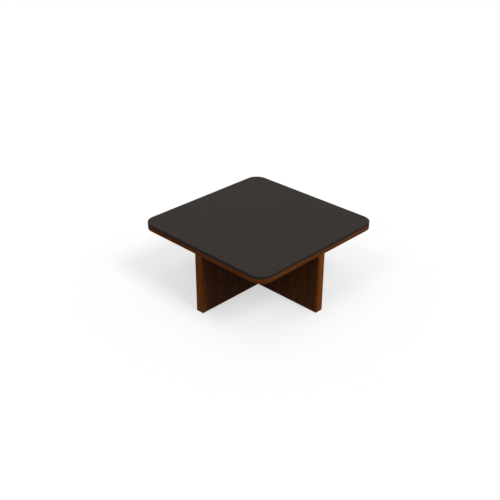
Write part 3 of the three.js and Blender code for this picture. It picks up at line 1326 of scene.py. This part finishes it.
@dataclass
class CrossPanel:
    """One hollow-core panel: two veneered skins, two solid lippings and the core between."""

    finishes: Finishes
    prefix: str
    run: PanelRun
    slot_opens: SlotEdge
    skin_lower_arris: float = 1.0 * MM
    lipping_arris: float = 2.0 * MM
    lipping_lower_arris: float = 0.5 * MM
    veneer_facing: float = 0.3

    def build(self) -> None:
        """Models the skins and the lippings, and dresses the core."""
        for side in ("left", "right"):
            self.build_skin(f"{self.prefix}_{side}_skin")
        for end in ("front", "back"):
            self.build_lipping(f"{self.prefix}_{end}_lipping")
        self.dress_core()

    @property
    def long_axis(self) -> int:
        """The place of the axis that the panel stands along."""
        return self.run.value

    @property
    def thin_axis(self) -> int:
        """The place of the axis through the panel."""
        return 1 - self.run.value

    def build_skin(self, node: str) -> None:
        """A veneered skin: a notched plane as tall as the panel, drawn out to its thickness.

        Args:
            node: The solid that it stands for.
        """
        low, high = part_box(node)
        outer_face = max(low[self.thin_axis], high[self.thin_axis], key=abs)
        inner_face = min(low[self.thin_axis], high[self.thin_axis], key=abs)
        skin = self.notched_plane(node.replace("skin", "face"), low, high, inner_face)

        def lower_outer(point: Vector) -> bool:
            """Whether a point lies on the skin's lower outer edge."""
            return near(point.z, low.z) and near(point[self.thin_axis], outer_face)

        with editing(skin):
            bpy.ops.mesh.select_all(action="SELECT")
            draw_out(AXES[self.thin_axis] * (outer_face - inner_face))
            turn_outwards()
            bevel_edges(skin, both_ends(lower_outer), self.skin_lower_arris, FINE_SEGMENTS)
        soften_edges(skin, HAIRLINE)
        veneer, raw_edge = self.finishes.upright_veneer, self.finishes.board_edge
        complete(skin, "walnut_veneer", node, veneer, raw_edge)
        for face in skin.data.polygons:
            veneered = abs(face.normal[self.thin_axis]) > self.veneer_facing
            face.material_index = 0 if veneered else 1

    def notched_plane(self, name: str, low: Vector, high: Vector, inner_face: float) -> Piece:
        """A plane in a skin's inner face, with the halving slot taken out.

        Args:
            name: The piece's name.
            low: Lowest corner of the skin.
            high: Highest corner of the skin.
            inner_face: Where the inner face lies through the panel.

        Returns:
            The plane.
        """
        centre = (low + high) / 2
        centre[self.thin_axis] = inner_face
        turn = (QUARTER_TURN, 0, QUARTER_TURN * self.run.value)
        clear_selection()
        bpy.ops.mesh.primitive_plane_add(size=1, location=centre, rotation=turn)
        plane = keep_new(name, (high[self.long_axis] - low[self.long_axis], high.z - low.z, 1))
        opens_up = self.slot_opens is SlotEdge.TOP
        sill_low, sill_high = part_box(f"{self.prefix}_slot_sill")
        slot_end = sill_high.z if opens_up else sill_low.z
        walls = (sill_low[self.long_axis], sill_high[self.long_axis])
        cuts = ((self.long_axis, walls[0]), (self.long_axis, walls[1]), (UP_AXIS, slot_end))

        def in_slot(face: Face) -> bool:
            """Whether a face lies between the slot's walls, past its closed end."""
            centre = face.calc_center_median()
            return walls[0] < centre[self.long_axis] < walls[1] and (centre.z > slot_end) == opens_up

        with editing(plane):
            for axis, distance in cuts:
                bpy.ops.mesh.select_all(action="SELECT")
                bpy.ops.mesh.bisect(plane_co=AXES[axis] * distance, plane_no=AXES[axis])
            pick(plane, Select.FACES, in_slot)
            bpy.ops.mesh.delete(type="FACE")
        return plane

    def build_lipping(self, node: str) -> None:
        """A solid walnut lipping: a block with its two outer upright edges rounded.

        Args:
            node: The solid that it stands for.
        """
        low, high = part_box(node)
        outer_end = max(low[self.long_axis], high[self.long_axis], key=abs)
        clear_selection()
        bpy.ops.mesh.primitive_cube_add(size=1, location=(low + high) / 2)
        lipping = keep_new(node.replace("lipping", "end"), high - low)
        in_end_face = both_ends(lambda point: near(point[self.long_axis], outer_end))

        def outer_upright(edge: Edge) -> bool:
            """Whether an edge is one of the upright ones of the end face."""
            return in_end_face(edge) and near(edge.calc_length(), high.z - low.z)

        def lower_outer(point: Vector) -> bool:
            """Whether a point lies on the lower edge round the end face."""
            past_arris = abs(point[self.long_axis]) > abs(outer_end) - self.lipping_arris - TOUCHING
            return near(point.z, low.z) and past_arris

        with editing(lipping):
            bevel_edges(lipping, outer_upright, self.lipping_arris, ARRIS_SEGMENTS)
            lower_edge = both_ends(lower_outer)
            bevel_edges(lipping, lower_edge, self.lipping_lower_arris, SMALL_SEGMENTS)
        soften_edges(lipping, HAIRLINE)
        complete(lipping, "solid_walnut", node, self.finishes.upright_walnut)

    def dress_core(self) -> None:
        """Dresses the pine core, whose grain runs along each of its pieces."""
        lengthwise = GrainRun.ALONG_X if self.run is PanelRun.ALONG_X else GrainRun.ALONG_Y
        for piece in ("whole_rail", "front_half_rail", "back_half_rail", "slot_sill"):
            dress_node(f"{self.prefix}_{piece}", self.finishes.pine[lengthwise])
        for end in ("front", "back"):
            for piece in ("slot_cheek", "end_stile"):
                dress_node(f"{self.prefix}_{end}_{piece}", self.finishes.pine[GrainRun.UPRIGHT])


@dataclass
class Glides:
    """The press-in glides: a round head with a nail recess below and a stem above."""

    finishes: Finishes
    round_segments: int = 48
    stem_radius: float = 4 * MM
    chamfer: float = 1 * MM
    arris: float = 0.15 * MM
    recess_radius: float = 3.2 * MM
    recess_depth: float = 0.8 * MM

    def build(self) -> None:
        """Models one glide and copies it to its eight places."""
        dress_copies(self.model(), self.finishes.nylon, at_panels("glide"))

    def model(self) -> Piece:
        """Models the glide on the floor at the origin.

        Returns:
            The glide.
        """
        foot = spots_of(at_panels("glide"))[0]
        radius, top = foot.radius, foot.height
        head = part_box(f"{PANELS[0]}_whole_rail")[0].z - foot.low
        profile = [(radius, 0), (radius, head), (self.stem_radius, head), (self.stem_radius, top)]
        glide = turned("glide_template", profile, self.round_segments)
        with editing(glide):
            bevel_edges(glide, rim(top), self.chamfer, SMALL_SEGMENTS)
            bevel_edges(glide, rim(0), self.chamfer, FINE_SEGMENTS)
            inset_lid(glide, 0, radius - self.chamfer - self.recess_radius)
            draw_out((0, 0, self.recess_depth))
        soften_edges(glide, self.arris)
        return glide


@dataclass
class Hardware:
    """The wood screws, the machine screws and the threaded inserts that these bite in."""

    finishes: Finishes
    wood_shank_radius: float = 2 * MM
    wood_point: float = 4 * MM
    machine_shank_radius: float = 3 * MM
    wood_screw: Fastener = field(init=False)
    machine_screw: Fastener = field(init=False)
    insert: Insert = field(init=False)

    def __post_init__(self) -> None:
        """Reads the other sizes from the solids."""
        wood, machine, insert = (
            spots_of(nodes)[0]
            for nodes in (WOOD_SCREWS, at_panels("machine_screw"), at_panels("insert"))
        )
        self.wood_screw = Fastener(wood.radius, wood.height, self.wood_shank_radius, self.wood_point)
        self.machine_screw = Fastener(machine.radius, machine.height, self.machine_shank_radius)
        self.insert = Insert(insert.radius, insert.height)

    def build(self) -> None:
        """Models one of each and copies it to its eight places."""
        zinc, brass = self.finishes.zinc, self.finishes.brass
        upwards = self.wood_screw.model("wood_screw_template")
        dress_copies(upwards, zinc, WOOD_SCREWS)
        downwards = self.machine_screw.model("machine_screw_template")
        put(downwards, Vector((0, 0, self.machine_screw.length)), upside_down=True)
        dress_copies(downwards, zinc, at_panels("machine_screw"))
        sleeve = self.insert.model("insert_template")
        dress_copies(sleeve, brass, at_panels("insert"))


# Studio


@dataclass(frozen=True)
class Softbox:
    """A broad lamp far above the table."""

    name: str
    towards: tuple[float, float, float]
    strength: float
    softness: float = math.radians(22)

    def build(self) -> None:
        """Hangs the lamp so that it shines from its side."""
        lamp = bpy.data.lights.new(self.name, "SUN")
        lamp.energy = self.strength
        lamp.angle = self.softness
        holder = bpy.data.objects.new(self.name, lamp)
        bpy.context.scene.collection.objects.link(holder)
        holder.rotation_mode = "QUATERNION"
        holder.rotation_quaternion = Vector(self.towards).to_track_quat("Z", "Y")


@dataclass
class Studio:
    """A pale floor without an end, two softboxes and a sky that is brightest overhead.

    The floor and the sky are white where they are seen, and return little light to the
    table, so that the bays stay as shaded as they are in the picture. The softboxes
    stand to the front and to the left, high enough to leave the bays in shade.
    """

    floor_size: float = 80.0
    paper_white: float = 1.0
    floor_returned: float = 0.05
    floor_glow: float = 0.6
    sky_low: float = 0.042
    sky_overhead: float = 1.12
    sky_falloff: float = 3.0
    softboxes: tuple[Softbox, ...] = (
        Softbox("front_softbox", towards=(0.0, -0.85, 1.0), strength=1.55),
        Softbox("left_softbox", towards=(-0.85, 0.0, 1.0), strength=0.57),
    )

    def build(self) -> None:
        """Makes the floor, the sky, the lamps and the camera."""
        self.build_floor()
        self.build_sky()
        for softbox in self.softboxes:
            softbox.build()
        PhotoCamera().build()
        bpy.context.scene.view_settings.view_transform = "Standard"

    def seen_ray(self, bench: NodeBench) -> Socket:
        """Tells the rays that see a surface from those that only light others by it.

        Args:
            bench: The bench of the material or the world.

        Returns:
            1 for a ray from the camera, a gloss or a clear body, and otherwise 0.
        """
        path = bench.add("ShaderNodeLightPath").outputs
        seen = bench.math("MAXIMUM", path["Is Camera Ray"], path["Is Glossy Ray"])
        return bench.math("MAXIMUM", seen, path["Is Transmission Ray"])

    def build_floor(self) -> None:
        """A pale floor that shows the table's shadow and is clear from below."""
        clear_selection()
        bpy.ops.mesh.primitive_plane_add(size=self.floor_size)
        floor = keep_new("studio_floor")
        material = bpy.data.materials.new("pale_floor")
        bench = fresh_bench(material)
        seen = self.seen_ray(bench)
        returned, paper = [(level,) * 3 + (1.0,) for level in (self.floor_returned, self.paper_white)]
        matt = bench.add("ShaderNodeBsdfDiffuse", {"Color": bench.blend(seen, returned, paper)})
        glow = bench.add("ShaderNodeEmission", {"Color": paper, "Strength": 1.0})
        share = bench.math("MULTIPLY", seen, self.floor_glow)
        pale = bench.add("ShaderNodeMixShader", {0: share, 1: matt.outputs[0], 2: glow.outputs[0]})
        clear = bench.add("ShaderNodeBsdfTransparent")
        below = bench.add("ShaderNodeNewGeometry").outputs["Backfacing"]
        sides = {0: below, 1: pale.outputs[0], 2: clear.outputs[0]}
        surface = bench.add("ShaderNodeMixShader", sides)
        bench.add("ShaderNodeOutputMaterial", {"Surface": surface.outputs[0]})
        dress(floor, material)

    def build_sky(self) -> None:
        """A sky that is even where it is seen, and lights the table mostly from overhead."""
        world = bpy.data.worlds.new("plain_sky")
        bpy.context.scene.world = world
        bench = fresh_bench(world)
        direction = bench.add("ShaderNodeTexCoord").outputs["Generated"]
        height = bench.add("ShaderNodeSeparateXYZ", {"Vector": direction}).outputs["Z"]
        rise = bench.math("POWER", bench.math("MAXIMUM", height, 0.0), self.sky_falloff)
        light = bench.layer(self.sky_low, rise, self.sky_overhead)
        levels = {"Factor": self.seen_ray(bench), "A": light, "B": self.paper_white}
        strength = bench.add("ShaderNodeMix", levels).outputs["Result"]
        white = {"Color": (1.0, 1.0, 1.0, 1.0), "Strength": strength}
        sky = bench.add("ShaderNodeBackground", white)
        bench.add("ShaderNodeOutputWorld", {"Surface": sky.outputs[0]})


@dataclass
class PhotoCamera:
    """The camera that took the picture, fitted to the table's corners in it.

    The distance, from the middle of the top, is in table sides, and the picture's own
    places are in its pixels.
    """

    picture_px: float = 500.0
    focal_px: float = 792.8
    top_centre_px: tuple[float, float] = (258.74, 220.55)
    yaw: float = math.radians(45.753)
    pitch: float = math.radians(28.623)
    roll: float = math.radians(0.177)
    distance: float = 4.821
    sensor_mm: float = 36.0

    def build(self) -> None:
        """Makes the camera and sets it as the scene's."""
        low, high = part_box("charcoal_top_board")
        depth = self.distance * (high.x - low.x)
        middle = self.picture_px / 2
        aside = (self.top_centre_px[0] - middle) / self.focal_px * depth
        above = (middle - self.top_centre_px[1]) / self.focal_px * depth
        turn = (
            Matrix.Rotation(-self.yaw, 3, "Z")
            @ Matrix.Rotation(QUARTER_TURN - self.pitch, 3, "X")
            @ Matrix.Rotation(self.roll, 3, "Z")
        )
        place = Vector((0, 0, high.z)) + turn @ Vector((-aside, -above, depth))

        lens = bpy.data.cameras.new("picture_camera")
        lens.sensor_width = self.sensor_mm
        lens.lens = self.focal_px / self.picture_px * self.sensor_mm
        camera = bpy.data.objects.new("picture_camera", lens)
        bpy.context.scene.collection.objects.link(camera)
        camera.matrix_world = Matrix.Translation(place) @ turn.to_4x4()
        bpy.context.scene.camera = camera


def main() -> None:
    """Builds the table and its studio."""
    logging.basicConfig(level=logging.INFO, format="%(name)s: %(message)s")
    finishes = Finishes()
    hardware = Hardware(finishes)
    TableTop(finishes, hardware.wood_screw, hardware.machine_screw).build()
    CrossPanel(finishes, "panel_a", PanelRun.ALONG_Y, SlotEdge.TOP).build()
    CrossPanel(finishes, "panel_b", PanelRun.ALONG_X, SlotEdge.BOTTOM).build()
    hardware.build()
    Glides(finishes).build()
    Studio().build()


if __name__ == "__main__":
    main()
